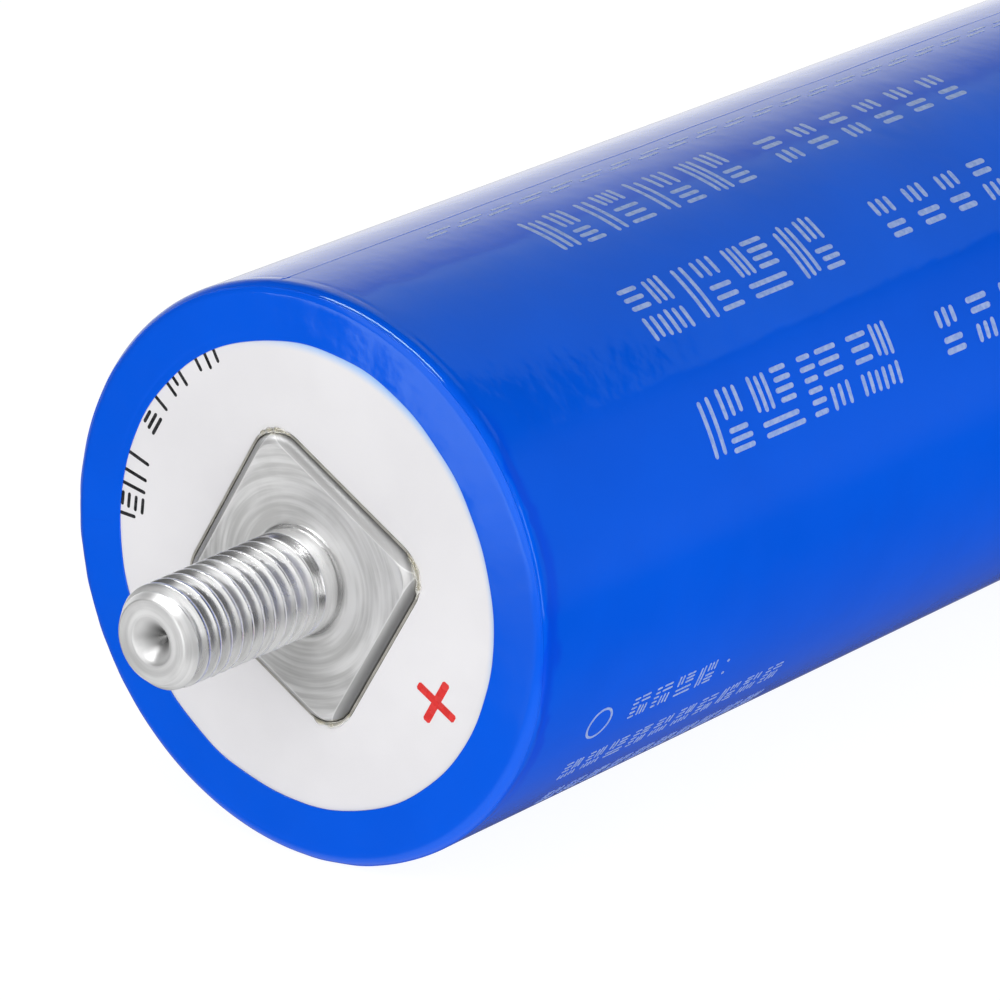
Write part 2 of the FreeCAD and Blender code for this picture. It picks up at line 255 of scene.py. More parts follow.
# ---- materials --------------------------------------------------------------------------------
def film_material():
    """Glossy film. Its gloss has a tint of its own, which the metal doesn't share."""
    s = Shader("blue_shrink_film")
    cloud = s.noise(45.0, 3.0)
    base = s.mix(s.spread(cloud, 0.3, 0.7), (0.0006, 0.093, 0.73), (0.0012, 0.102, 0.78))
    # a deeper blue band beside each shoulder, held to the flanks: painted shade of the film bunched into
    # wrinkles there
    _, y, z = s.split(s.place)
    edge = s.math("ADD", s.math("ABSOLUTE", y), s.spread(s.noise(150.0), 0.3, 0.7, -0.0007, 0.0007))
    beside = s.math("MULTIPLY", s.spread(edge, (OUT_CELL - 3.5) * MM, (OUT_CELL - 2.4) * MM),
                    s.spread(edge, (OUT_CELL - 1.4) * MM, (OUT_CELL - 1.0) * MM, 1.0, 0.0))
    flank = s.spread(s.math("ABSOLUTE", s.math("SUBTRACT", z, 0.002)), 0.014, 0.026, 0.6, 0.0)
    base = s.mix(s.math("MULTIPLY", beside, flank), base, (0.0005, 0.052, 0.69))
    fine = s.noise(2600.0, 2.0)
    orange_peel = s.noise(330.0, 2.0)
    waves = s.noise(80.0, 2.0)
    height = s.math("ADD", s.math("MULTIPLY", fine, 0.04),
                    s.math("ADD", s.math("MULTIPLY", orange_peel, 0.7), s.math("MULTIPLY", waves, 1.0)))
    s.set(Base_Color=base, Roughness=s.spread(s.noise(300.0), 0.3, 0.7, 0.06, 0.09),
          IOR=1.50, Specular_IOR_Level=0.45, Specular_Tint=(0.66, 1.0, 0.70),
          Normal=s.bump(height, 0.00005))
    return s.material


def ink_material(name, colour, worn):
    s = Shader(name)
    patch = s.spread(s.noise(1500.0, 3.0), 0.35, 0.65)
    s.set(Base_Color=s.mix(patch, colour, worn), Roughness=s.spread(s.noise(900.0), 0.3, 0.7, 0.22, 0.34),
          IOR=1.40, Normal=s.bump(s.noise(3000.0, 2.0), 0.000004))
    return s.material


def disc_material():
    """Matt white plastic, with a painted blue glow along the lip on one side, standing in for light that
    the film beside it throws on it.
    """
    s = Shader("white_disc_plastic")
    cloud = s.noise(60.0, 3.0)
    base = s.mix(s.spread(cloud, 0.35, 0.65), (0.775, 0.765, 0.785), (0.81, 0.80, 0.82))
    x, _, z = s.split(s.place)
    # painted reflection of the blue film: the disc turns blue near the lip, only on the side towards +X and
    # +Z
    blue_glow_side = s.spread(s.math("ADD", x, z), 0.012, 0.030)
    by_lip = s.spread(radius_from_axis(s), (R_LIP - 0.9) * MM, (R_LIP + 0.45) * MM)
    base = s.mix(s.math("MULTIPLY", s.math("MULTIPLY", blue_glow_side, by_lip), 0.9), base, (0.30, 0.55, 0.96))
    s.set(Base_Color=base, Roughness=s.spread(s.noise(500.0), 0.3, 0.7, 0.38, 0.48), IOR=1.45,
          Normal=s.bump(s.noise(1800.0, 3.0), 0.000012))
    return s.material


def turned_metal():
    """Faced and turned aluminium: short arcs of fine grooves round the axis, and smears."""
    s = Shader("turned_aluminium")
    radius = radius_from_axis(s)
    x, y, z = s.split(s.place)
    across = s.math("ADD", radius, y)

    def arcs(scale, stretch, detail):
        """Noise that changes quickly across the grooves and slowly along them."""
        place = s.join(across, s.math("MULTIPLY", x, stretch), s.math("MULTIPLY", z, stretch))
        return s.noise(scale, detail, place)

    fine = arcs(7000.0, 0.03, 2.0)
    medium = arcs(1800.0, 0.05, 3.0)
    broad = arcs(420.0, 0.30, 2.0)
    smear = s.noise(140.0, 3.0, distortion=0.8)
    on_flange = s.spread(radius, (R_COLLAR + 0.2) * MM, (R_COLLAR + 0.6) * MM)
    blend = s.math("ADD", s.math("MULTIPLY", medium, 0.45),
                   s.math("ADD", s.math("MULTIPLY", broad, 0.35), s.math("MULTIPLY", smear, 0.2)))
    dark = s.mix(on_flange, (0.70, 0.70, 0.70), (0.64, 0.64, 0.635))
    tone = s.mix(s.spread(blend, 0.36, 0.62), dark, (0.93, 0.93, 0.93))
    # painted shade: the metal is darkened towards the middle of the pit, in the recess
    pit_shade = s.spread(radius, 0.3 * PIT_RADIUS * MM, 0.95 * PIT_RADIUS * MM)
    tone = s.mix(pit_shade, (0.32, 0.32, 0.32), tone)
    # sheared rim of the flange, beyond the crease: its own duller tone, darkened towards the outer edge as
    # painted shade
    turned = s.math("MULTIPLY", x, s.math("SIGN", y))
    cos, sin = math.cos(math.radians(FLANGE_TURN)), math.sin(math.radians(FLANGE_TURN))
    u = s.math("SUBTRACT", s.math("MULTIPLY", z, sin), s.math("MULTIPLY", turned, cos))
    v = s.math("ADD", s.math("MULTIPLY", z, cos), s.math("MULTIPLY", turned, sin))
    to_edge = s.math("MAXIMUM", s.math("ABSOLUTE", u), s.math("ABSOLUTE", v))
    crease = FLANGE_HALF - FLANGE_CREASE
    rim = s.spread(to_edge, (crease - 0.02) * MM, (crease + 0.06) * MM)
    outward = s.spread(to_edge, crease * MM, (FLANGE_HALF - 0.25) * MM)
    rim_tone_and_shade = s.mix(outward, s.mix(blend, (0.50, 0.50, 0.50), (0.76, 0.76, 0.76)), (0.31, 0.31, 0.31))
    tone = s.mix(rim, tone, rim_tone_and_shade)
    # painted highlight: a thin bright line along the crease, on the burr
    crease_glint = s.math("MULTIPLY", s.spread(to_edge, (crease - 0.12) * MM, (crease - 0.04) * MM),
                  s.spread(to_edge, (crease + 0.02) * MM, (crease + 0.10) * MM, 1.0, 0.0))
    tone = s.mix(s.math("MULTIPLY", crease_glint, 0.8), tone, (0.97, 0.97, 0.97))
    grooves = s.math("ADD", s.math("MULTIPLY", fine, 0.5), medium)
    tangent = s.tree.nodes.new("ShaderNodeTangent")
    tangent.direction_type = "RADIAL"
    tangent.axis = "Y"
    out = s.math("ABSOLUTE", y)
    tip = s.spread(out, (OUT_TIP - TIP_CHAMFER - 0.4) * MM, (OUT_TIP - TIP_CHAMFER + 0.1) * MM)
    rough = s.math("ADD", s.spread(on_flange, 0.0, 1.0, 0.25, 0.42), s.spread(broad, 0.3, 0.7, -0.04, 0.05))
    rough = s.math("ADD", rough, s.math("MULTIPLY", tip, 0.14))
    rough = s.math("ADD", rough, s.math("MULTIPLY", rim, 0.10))
    metallic = s.math("ADD", s.spread(on_flange, 0.0, 1.0, 0.90, 0.68), s.math("MULTIPLY", rim, 0.18))
    metallic = s.math("SUBTRACT", metallic, s.math("MULTIPLY", tip, 0.25), clamp=True)
    s.set(Base_Color=tone, Metallic=metallic, Roughness=rough, Tangent=tangent.outputs[0],
          Anisotropic=s.spread(on_flange, 0.0, 1.0, 0.2, 0.6), Normal=s.bump(grooves, 0.000008))
    return s.material


def plain_material(name, dark, light, scale, rough=(0.35, 0.5), metallic=0.0, grain=0.00001, **more):
    """Two close tones clouded into each other, with grain to match."""
    s = Shader(name)
    cloud = s.spread(s.noise(scale, 4.0), 0.3, 0.7)
    s.set(Base_Color=s.mix(cloud, dark, light), Metallic=metallic,
          Roughness=s.spread(s.noise(scale * 5), 0.3, 0.7, *rough),
          Normal=s.bump(s.noise(scale * 25, 3.0), grain), **more)
    return s.material


FILM_BLUE = film_material()
WHITE_DISC = disc_material()
TURNED = turned_metal()
PALE_INK = ink_material("pale_blue_ink", (0.36, 0.47, 0.78), (0.26, 0.38, 0.76))
BLACK_INK = ink_material("black_ink", (0.012, 0.012, 0.014), (0.03, 0.03, 0.034))
RED_INK = ink_material("red_ink", (0.76, 0.035, 0.032), (0.66, 0.03, 0.03))
SEALANT = plain_material("clear_sealant", (0.70, 0.66, 0.50), (0.84, 0.82, 0.72), 700.0, (0.12, 0.3),
                         grain=0.00003, Transmission_Weight=0.75, IOR=1.46)
CLEAR_TRAY = plain_material("translucent_tray", (0.42, 0.40, 0.36), (0.60, 0.58, 0.52), 400.0,
                            Transmission_Weight=0.35, IOR=1.48)


# ---- sleeve ---------------------------------------------------------------------------------
def sleeve_loop():
    """Closed loop of rings through the film, each (radius, out, weight of the waves, side, face)."""
    outer = []
    for out in np.linspace(0, OUT_CELL - 9, 28):
        outer.append((R_CELL, out, 0.3, 1, 0))
    near_shoulder = ((OUT_CELL - 8.2, OUT_CELL - 3.9, 7), (OUT_CELL - 3.4, OUT_CELL - SHOULDER, 14))
    for low, high, number in near_shoulder:
        for out in np.linspace(low, high, number):
            outer.append((R_CELL, out, 1.0, 1, 0))
    for turn in np.linspace(0, 90, 13)[1:-1]:
        t = math.radians(turn)
        outer.append((R_CELL - SHOULDER + SHOULDER * math.cos(t),
                      OUT_CELL - SHOULDER + SHOULDER * math.sin(t), 0.6, math.cos(t), math.sin(t)))
    for r in np.linspace(R_CELL - SHOULDER, R_RIM + RING_BLEND, 9):
        outer.append((r, OUT_CELL, 0.5, 0, 1))
    for t in np.linspace(0, 1, 7)[1:]:
        outer.append((R_RIM + STEP_START - STEP_WIDTH * t, OUT_CELL, 0.5, 0, 1))
    for r in (*np.linspace(R_RIM - 0.35, R_LIP + 0.30, 3), R_LIP + 0.16, R_LIP + 0.09):
        outer.append((r, OUT_CELL, 0.5, 0, 1))
    for turn in (20, 50, 80):
        t = math.radians(turn)
        outer.append((R_LIP + LIP_ROUND - LIP_ROUND * math.sin(t),
                      OUT_CELL - LIP_ROUND + LIP_ROUND * math.cos(t), 0.5, 0, 1))
    inner_face = OUT_CELL - FILM
    inner = [(R_LIP, inner_face, 0, 0, 0), (R_RIM, inner_face, 0, 0, 0)]
    inner_round = SHOULDER - FILM
    for turn in (90, 60, 30, 0):
        t = math.radians(turn)
        inner.append((R_CELL - SHOULDER + inner_round * math.cos(t),
                      OUT_CELL - SHOULDER + inner_round * math.sin(t), 0, 0, 0))
    half = outer + inner
    mirrored = [(r, -out, w, nr, -no) for r, out, w, nr, no in reversed(outer[1:])]
    mirrored_inner = [(r, -out, w, nr, -no) for r, out, w, nr, no in inner]
    return half + mirrored_inner[::-1] + mirrored


def build_sleeve():
    """The film's skin, pushed in and out by its waves, the wrinkles beside its shoulders and its fold."""
    wave, flutter, wrinkle, hollow, fold_height, least_sink = 0.006, 0.010, 0.022, 0.006, 0.012, 0.020
    wrinkle_out, hollow_out, seam = OUT_CELL - 2.15, OUT_CELL - 4.2, math.radians(SEAM_ANGLE)
    rng = np.random.default_rng(SEED)
    count = 384
    angle = np.arange(count) * 2 * math.pi / count
    loop = sleeve_loop()
    table = np.array(loop)
    radius, out, weight = table[:, 0:1], table[:, 1:2], table[:, 2:3]
    side, face = table[:, 3:4], table[:, 4:5]
    slow = ripple(angle[None, :], out, rng, 7, 2, 9)
    quick = ripple(angle[None, :], out, rng, 12, 12, 46)
    near_end = np.clip((np.abs(out) - (OUT_CELL - 9)) / 8, 0, 1) ** 2
    dip = bell(np.abs(out), wrinkle_out - 0.22 * slow, 0.32) * np.clip(1 + 0.9 * quick, 0.1, 2.2)
    wide = bell(np.abs(out), hollow_out, 1.4) * quick
    on_side = radius > R_CELL - 0.01
    push = weight * (wave * slow + flutter * near_end * quick) - FILM_SINK * (weight > 0)
    push = push - (wrinkle * dip + hollow * wide) * on_side
    fold = np.tanh((angle[None, :] - seam - 0.004 * np.sin(out / 6)) / 0.012)
    push = push + weight * fold_height * fold * bell(angle[None, :], seam, 0.35)
    push = np.minimum(push, -least_sink * (weight > 0))
    # the film steps down over the disc's rim on one side, and its lip is cut wider on another
    inward = np.clip((R_RIM + STEP_START - radius) / STEP_WIDTH, 0, 1)
    step = bell(angle, math.radians(140), math.radians(38))
    push = push - face * LIP_STEP * (3 * inward**2 - 2 * inward**3) * step[None, :]
    wide_cut = 0.55 * bell(angle, math.radians(66), math.radians(24))
    lip = 0.05 * ripple(angle, 0.0, rng, 9, 3, 30) + wide_cut
    at_lip = np.clip((R_RIM + RING_BLEND - radius) / (R_RIM + 0.45 - R_LIP), 0, 1) * (radius < R_RIM + 0.5)
    r = radius + side * push + at_lip * lip[None, :]
    o = out + face * push
    x = r * np.cos(angle)[None, :]
    z = r * np.sin(angle)[None, :]
    points = np.stack([x, -o, z], -1).reshape(-1, 3) * MM
    faces = tube_faces(len(loop), count, joined=True)
    piece = make_object("blue_shrink_sleeve", points, faces, FILM_BLUE)
    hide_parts("heat_shrink_sleeve")
    return piece


build_sleeve()


# ---- terminals ------------------------------------------------------------------------------
def soft_min(a, b, width):
    """The smaller of two values, with the change from one to the other rounded off."""
    h = np.clip(0.5 + 0.5 * (b - a) / width, 0, 1)
    return b * (1 - h) + a * h - width * h * (1 - h)


def thread_radius(angle, out):
    """Radius of the stud in each direction, at each distance out."""
    along = np.clip((out - OUT_COLLAR) / (OUT_TIP - TIP_CHAMFER - OUT_COLLAR), 0, 1)
    crest = R_COLLAR + (R_CREST_TIP - R_COLLAR) * along
    chamfer = R_TIP + (OUT_TIP - out) * (R_CREST_TIP - R_TIP) / TIP_CHAMFER
    blank = soft_min(crest, chamfer, 0.12)
    centre = GROOVE_START + THREAD_PITCH * (angle - math.radians(THREAD_PHASE)) / (2 * math.pi)
    offset = np.mod(out - centre + THREAD_PITCH / 2, THREAD_PITCH) - THREAD_PITCH / 2
    flank = R_ROOT + (np.abs(offset) - THREAD_PITCH / 12) / math.tan(math.radians(30))
    groove = -soft_min(-flank, -R_ROOT * np.ones_like(flank), 0.10)
    run_out = R_COLLAR - (out - OUT_COLLAR) * (R_COLLAR - R_ROOT) / RUN_OUT
    cut = np.maximum(groove, run_out)
    return soft_min(blank * np.ones_like(cut), cut, 0.07)


def build_terminal(end):
    """Riveted head, shank, flange and threaded stud in one skin, drawn ring by ring outwards."""
    count = 192
    angle = np.arange(count) * 2 * math.pi / count
    rings = []

    def circle(radius, out):
        rings.append(np.stack([radius * np.cos(angle), radius * np.sin(angle), out * np.ones(count)], -1))

    def circles(*places):
        for radius, out in places:
            circle(radius, out)

    def square(inset, out):
        circle(square_radius(angle, FLANGE_HALF - inset, FLANGE_CORNER - inset), out)

    head_low = OUT_HEAD_TOP - RIVET_THICK
    circles((4.0, head_low), (7.4, head_low), (7.8, head_low + 0.15), (R_RIVET, head_low + 0.5),
            (R_RIVET, OUT_HEAD_TOP - 0.1), (R_RIVET - 0.1, OUT_HEAD_TOP), (R_COLLAR + 0.1, OUT_HEAD_TOP),
            (R_COLLAR, OUT_HEAD_TOP + 0.1), (R_COLLAR, OUT_FLANGE_FOOT - 0.05),
            (R_COLLAR + 0.1, OUT_FLANGE_FOOT))
    square(0.15, OUT_FLANGE_FOOT)
    square(0.0, OUT_FLANGE_FOOT + 0.15)
    arc_centre = OUT_FLANGE - math.sqrt(FLANGE_ROUND**2 - (FLANGE_ROUND - FLANGE_CREASE) ** 2)
    square(0.0, arc_centre)
    for inset in (0.03, 0.1, 0.2, 0.33, 0.48, 0.65, 0.82, 0.98, 1.08):
        square(inset, arc_centre + math.sqrt(FLANGE_ROUND**2 - (FLANGE_ROUND - inset) ** 2))
    square(FLANGE_CREASE, OUT_FLANGE + BURR)
    square(FLANGE_CREASE + 0.05, OUT_FLANGE + BURR)
    square(FLANGE_CREASE + 0.12, OUT_FLANGE - FACING)
    crease = square_radius(angle, FLANGE_HALF - FLANGE_CREASE - 0.2, FLANGE_CORNER - FLANGE_CREASE - 0.2)
    mouth = R_COLLAR + 0.3
    for share in np.linspace(1, 0, 14):
        circle(mouth + 0.08 + (crease - mouth - 0.08) * share, OUT_FLANGE - FACING)
    circles((mouth, OUT_FLANGE - 0.05), (mouth - 0.03, OUT_FLANGE - 0.3),
            (R_COLLAR + 0.12, OUT_FLANGE - 0.36), (R_COLLAR + 0.02, OUT_FLANGE - 0.3),
            (R_COLLAR, OUT_FLANGE - 0.1), (R_COLLAR, OUT_FLANGE + 0.4), (R_COLLAR, OUT_FLANGE + 1.2),
            (R_COLLAR, OUT_FLANGE + 1.9))
    start, stop, thread_step = OUT_COLLAR - 0.2, OUT_TIP - 0.1, 0.07
    for out in np.linspace(start, stop, int((stop - start) / thread_step)):
        circle(thread_radius(angle, out), out)
    circles((R_TIP - 0.02, OUT_TIP - 0.03), (R_TIP - 0.1, OUT_TIP), (R_TIP - 0.18, OUT_TIP),
            (4.0, OUT_TIP), (3.2, OUT_TIP), (PIT_RADIUS + 0.18, OUT_TIP), (PIT_RADIUS + 0.12, OUT_TIP),
            (PIT_RADIUS + 0.02, OUT_TIP - 0.03))
    for share in np.linspace(0.05, 0.94, 12):
        circle(PIT_RADIUS * (1 - share), OUT_TIP - PIT_DEPTH * share)
    rings = np.array(rings)
    points = rings.reshape(-1, 3)
    low = np.array([[0, 0, head_low]])
    high = np.array([[0, 0, OUT_TIP - PIT_DEPTH * 0.97]])
    points = at_end(np.concatenate([points, low, high]), end)
    faces = tube_faces(len(rings), count)
    piece = make_object(end + "_threaded_terminal", points, faces, TURNED)
    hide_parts(end + "_terminal")
    return piece


for end in ("positive", "negative"):
    build_terminal(end)


# ---- sealant at the corners of the flange ---------------------------------------------------
def build_bead(end, corner, length, height, rng):
    """Bead of clear sealant round one corner of the flange, thinning out at both ends."""
    steps, sides = 40, 12
    middle = math.radians(FLANGE_TURN + 45 + 90 * corner)
    path = np.linspace(-1, 1, steps)
    direction = middle + path * math.radians(length)
    swell = np.sqrt(np.maximum(1 - path**2, 0.004)) * (1 + 0.25 * ripple(path * 3, 0.0, rng, 5, 2, 6))
    foot = square_radius(direction, FLANGE_HALF + 0.10, FLANGE_CORNER + 0.1)
    rings = []
    for k in range(steps):
        turn = np.arange(sides) * 2 * math.pi / sides
        r = foot[k] + (0.32 * np.cos(turn) + 0.12) * swell[k]
        out = OUT_DISC - 0.05 + height * swell[k] * (np.sin(turn) * 0.5 + 0.5)
        rings.append(np.stack([r * np.cos(direction[k]), r * np.sin(direction[k]), out], -1))
    rings = np.array(rings)
    ends = np.array([rings[0].mean(0), rings[-1].mean(0)])
    points = at_end(np.concatenate([rings.reshape(-1, 3), ends]), end)
    name = end + "_sealant_bead_" + str(corner + 1)
    return make_object(name, points, tube_faces(steps, sides), SEALANT)


bead_rng = np.random.default_rng(SEED + 2)
for end in ("positive", "negative"):
    for corner, (length, height) in enumerate(((9, 0.5), (7, 0.35), (11, 0.55), (10, 0.5))):
        build_bead(end, corner, length, height, bead_rng)


# ---- printing -------------------------------------------------------------------------------
def on_barrel(u, v, lift):
    """Sheet point (along the cell, round it) in millimetres; v is measured up from the +X side."""
    r = R_CELL - PRINT_SINK + lift
    return np.stack([r * np.cos(v / R_CELL), u, r * np.sin(v / R_CELL)], -1) * MM


def on_disc(end):
    """Sheet point (x, y) of the end frame, on the face of the white disc."""
    def place(u, v, lift):
        return at_end(np.stack([u, v, OUT_DISC - 0.02 + lift], -1), end)
    return place


def build_strokes(name, strokes, place, material, thick=INK_TOP):
    """Thin raised bars, each (u0, v0, u1, v1, width) on a sheet, with rounded ends."""
    points, faces = [], []
    for u0, v0, u1, v1, width in strokes:
        length = math.hypot(u1 - u0, v1 - v0)
        du, dv = (u1 - u0) / length, (v1 - v0) / length
        half = width / 2
        inner = np.linspace(half, length - half, max(2, int(length / 0.8) + 1))
        along = np.concatenate([[0.0, 0.3 * half], inner, [length - 0.3 * half, length]])
        near = np.minimum(along, length - along)
        side = half * np.sqrt(np.clip(1 - (1 - np.minimum(near / half, 1)) ** 2, 0.04, 1))
        first = len(points)
        for lift, sign in ((INK_UNDER, -1), (INK_UNDER, 1), (thick, 1), (thick, -1)):
            u = u0 + du * along - dv * side * sign
            v = v0 + dv * along + du * side * sign
            lifts = np.full(len(along), lift)
            points.extend(place(u, v, lifts))
        n = len(along)
        rows = [first + n * k for k in range(4)]
        for k in range(4):
            a, b = rows[k], rows[(k + 1) % 4]
            for i in range(n - 1):
                faces.append((a + i, a + i + 1, b + i + 1, b + i))
        faces.append(tuple(rows))
        faces.append(tuple(row + n - 1 for row in reversed(rows)))
    return make_object(name, points, faces, material, smooth=False)


def bars(u0, v0, u1, v1, upright, stroke, pitch, rng):
    """Parallel bars with uneven ends that fill the rectangle u0..u1, v0..v1."""
    made = []
    size = (u1 - u0) if upright else (v1 - v0)
    reach = (v1 - v0) if upright else (u1 - u0)
    count = max(1, int((size - stroke) / pitch) + 1)
    step = size / count
    for k in range(count):
        start, stop = rng.uniform(0, 0.1, 2) * reach + stroke * 0.1
        middle = step * (k + 0.5)
        if upright:
            made.append((u0 + middle, v0 + start, u0 + middle, v1 - stop, stroke))
        else:
            made.append((u0 + start, v0 + middle, u1 - stop, v0 + middle, stroke))
    return made


def block(u, v, width, height, stroke, pitch, rng):
    """One printed block: three zones of bars, with a clear gap between every two bars."""
    first, second = rng.uniform(0.36, 0.5), rng.uniform(0.42, 0.58)
    zones = [(0, 0, 1, 0.5), (0, 0.5, 1, 1)]
    if width > 10 * stroke:
        zones = [(0, 0, first, 1), (first, 0, 1, second), (first, second, 1, 1)]
    if len(zones) == 3 and rng.random() < 0.5:
        zones = [(b, a, d, c) for a, b, c, d in zones]
    gap = stroke * 0.45
    upright = rng.random() < 0.5
    made = []
    for k, (a, b, c, d) in enumerate(zones):
        rectangle = (u + width * a + gap, v + height * b + gap, u + width * c - gap, v + height * d - gap)
        made += bars(*rectangle, upright if k != 1 else not upright, stroke, pitch, rng)
    return made


def line_of_blocks(start, centre_angle, count, spacing, width, height, stroke, pitch, rng):
    """Row of printed blocks along the cell, centred on one angle of the barrel."""
    v = math.radians(centre_angle) * R_CELL - height / 2
    made = []
    for k in range(count):
        made += block(start + spacing * k, v, width, height, stroke, pitch, rng)
    return made


def build_prints():
    """Three lines of rating blocks, two rows of dashes beside the fold and three lines of notes."""
    rng = np.random.default_rng(SEED + 3)
    big = []
    for centre, tall_start, low_start, low_count in ((77.0, -48.3, -7.0, 6), (51.4, -48.3, -3.2, 4),
                                                     (25.8, -47.8, -3.8, 4)):
        big += line_of_blocks(tall_start, centre, 4, 9.3, 8.3, 8.3, 0.60, 1.25, rng)
        big += line_of_blocks(low_start, centre - 0.7, low_count, 6.4, 4.9, 6.6, 0.72, 1.5, rng)
    build_strokes("rating_bars", big, on_barrel, PALE_INK)

    dashes = []
    dash, dash_pitch, dash_width = 3.6, 5.4, 0.40
    for row, start in ((90.3, -58.3), (92.0, -56.7)):
        v = math.radians(row) * R_CELL
        for k in range(22):
            u = start + dash_pitch * k
            dashes.append((u, v, u + dash, v, dash_width))
    build_strokes("fold_line_dashes", dashes, on_barrel, PALE_INK)

    small = []
    for start, centre, count, spacing in ((-60.6, -25.0, 4, 4.0), (-68.3, -36.8, 10, 4.05),
                                          (-66.1, -48.6, 10, 4.05)):
        small += line_of_blocks(start, centre, count, spacing, 3.4, 3.5, 0.27, 0.6, rng)
    dot, dot_start = 0.45, -43.4
    for row in (-24.0, -27.2):
        v = math.radians(row) * R_CELL
        small.append((dot_start, v, dot_start + dot, v, MARK_WIDTH))
    build_strokes("note_bars", small, on_barrel, PALE_INK)
    build_ring_mark()


def build_ring_mark():
    """Small printed circle in front of the first line of notes."""
    steps = 36
    turn = np.arange(steps) * 2 * math.pi / steps
    centre_u, centre_v, radius, half = -66.2, math.radians(-24.6) * R_CELL, 1.95, 0.16
    rings = []
    for side, lift in ((-1, INK_UNDER), (1, INK_UNDER), (1, INK_TOP), (-1, INK_TOP)):
        r = radius + side * half
        u, v = centre_u + r * np.cos(turn), centre_v + r * np.sin(turn)
        rings.append(on_barrel(u, v, np.full(steps, lift)))
    points = np.array(rings).reshape(-1, 3)
    faces = tube_faces(len(rings), steps, joined=True)
    make_object("note_circle", points, faces, PALE_INK, smooth=False)


def on_ring(end):
    """Sheet point (x, y) of the end frame, on the flat ring of the sleeve."""
    def place(u, v, lift):
        return at_end(np.stack([u, v, OUT_CELL - PRINT_SINK + lift], -1), end)
    return place


def polar(angle, r):
    """Point of an end face, at an angle in degrees."""
    return r * math.cos(math.radians(angle)), r * math.sin(math.radians(angle))


def build_disc_marks():
    """Short black bars that end under the film's lip, then the polarity sign of each end."""
    marks = []
    mark_end = 27.0
    for angle, low in ((118.0, 24.9), (121.2, 24.6), (124.6, 24.9), (131.4, 24.5), (134.0, 25.2),
                       (136.6, 24.5), (142.2, 24.3), (160.2, 23.4), (165.0, 23.2), (168.6, 23.1),
                       (176.6, 24.2)):
        marks.append((*polar(angle, low), *polar(angle, mark_end), MARK_WIDTH))
    for low_angle, high_angle, r in ((145.4, 151.4, 24.4), (145.6, 151.0, 25.2), (146.4, 150.4, 26.0),
                                     (170.4, 175.2, 23.3), (170.6, 175.0, 24.3), (170.6, 174.8, 25.3),
                                     (170.8, 174.6, 26.2)):
        marks.append((*polar(low_angle, r), *polar(high_angle, r), MARK_WIDTH))
    build_strokes("positive_disc_marks", marks, on_disc("positive"), BLACK_INK)

    tilt = math.radians(-30)
    centre_x, centre_y, arm, half = 18.45, -9.94, 2.9, 0.5
    cut = 0.2
    arm_outline = ((half, -half), (arm - cut, -half), (arm, -half + cut),
                   (arm, half - cut), (arm - cut, half))
    outline = []
    for quarter in range(4):
        turn = tilt + quarter * math.pi / 2
        for u, v in arm_outline:
            outline.append((centre_x + u * math.cos(turn) - v * math.sin(turn),
                            centre_y + u * math.sin(turn) + v * math.cos(turn)))
    outline = np.array(outline)
    faces = tube_faces(2, len(outline))
    levels = (OUT_DISC - 0.05, OUT_DISC + 0.02)
    rings = [np.column_stack([outline, np.full(len(outline), out)]) for out in levels]
    ends = [(centre_x, centre_y, out) for out in levels]
    points = at_end(np.concatenate([*rings, ends]), "positive")
    make_object("positive_plus_sign", points, faces, RED_INK, smooth=False)
    dx, dy = arm * math.cos(tilt), arm * math.sin(tilt)
    minus = [(centre_x - dx, centre_y - dy, centre_x + dx, centre_y + dy, 2 * half)]
    build_strokes("negative_minus_sign", minus, on_disc("negative"), BLACK_INK)


build_prints()
build_disc_marks()


# ---- seam of the sleeve -----------------------------------------------------------------------
def build_seam():
    """Low ridge along the barrel where the flat tube was folded."""
    rng = np.random.default_rng(SEED + 4)
    along = np.linspace(-(OUT_CELL - SHOULDER), OUT_CELL - SHOULDER, 240)
    angle = math.radians(SEAM_ANGLE) + 0.0030 * ripple(along / 22, 0.0, rng, 6, 1, 9)
    section = [(-0.0110, -0.02), (-0.0040, 0.022), (0.0, 0.030), (0.0040, 0.022), (0.0110, -0.02)]
    rings = []
    for y, a in zip(along, angle):
        ring = []
        for da, lift in section:
            r = R_CELL - PRINT_SINK + lift
            ring.append((r * math.cos(a + da), y, r * math.sin(a + da)))
        rings.append(ring)
    rings = np.array(rings) * MM
    ends = np.array([rings[0].mean(0), rings[-1].mean(0)])
    points = np.concatenate([rings.reshape(-1, 3), ends])
    make_object("sleeve_seam", points, tube_faces(len(along), len(section)), FILM_BLUE)


def build_crease(end, seed):
    """Fine raised crease where the shrunk film bends over the edge of the can."""
    rng = np.random.default_rng(seed)
    steps = 720
    angle = np.arange(steps) * 2 * math.pi / steps
    turn = np.radians(38 + 20 * np.sin(angle - 0.17)) + 0.06 * ripple(angle, 0.0, rng, 8, 2, 9)
    height = 0.040 * np.clip(1 + 0.7 * ripple(angle, 0.0, rng, 14, 3, 40), 0.3, 1.7)
    section = [(-0.15, -1.0), (-0.06, 0.75), (0.0, 1.0), (0.06, 0.75), (0.15, -1.0)]
    side = -1 if end == "positive" else 1
    rows = []
    for across, share in section[::-side]:
        t = turn + across / SHOULDER
        reach = SHOULDER - FILM_SINK + share * height
        r = R_CELL - SHOULDER + reach * np.cos(t)
        out = OUT_CELL - SHOULDER + reach * np.sin(t)
        rows.append(np.stack([r * np.cos(angle), side * out, r * np.sin(angle)], -1))
    points = np.array(rows).reshape(-1, 3) * MM
    faces = tube_faces(len(section), steps, joined=True)
    make_object(end + "_shoulder_crease", points, faces, FILM_BLUE)


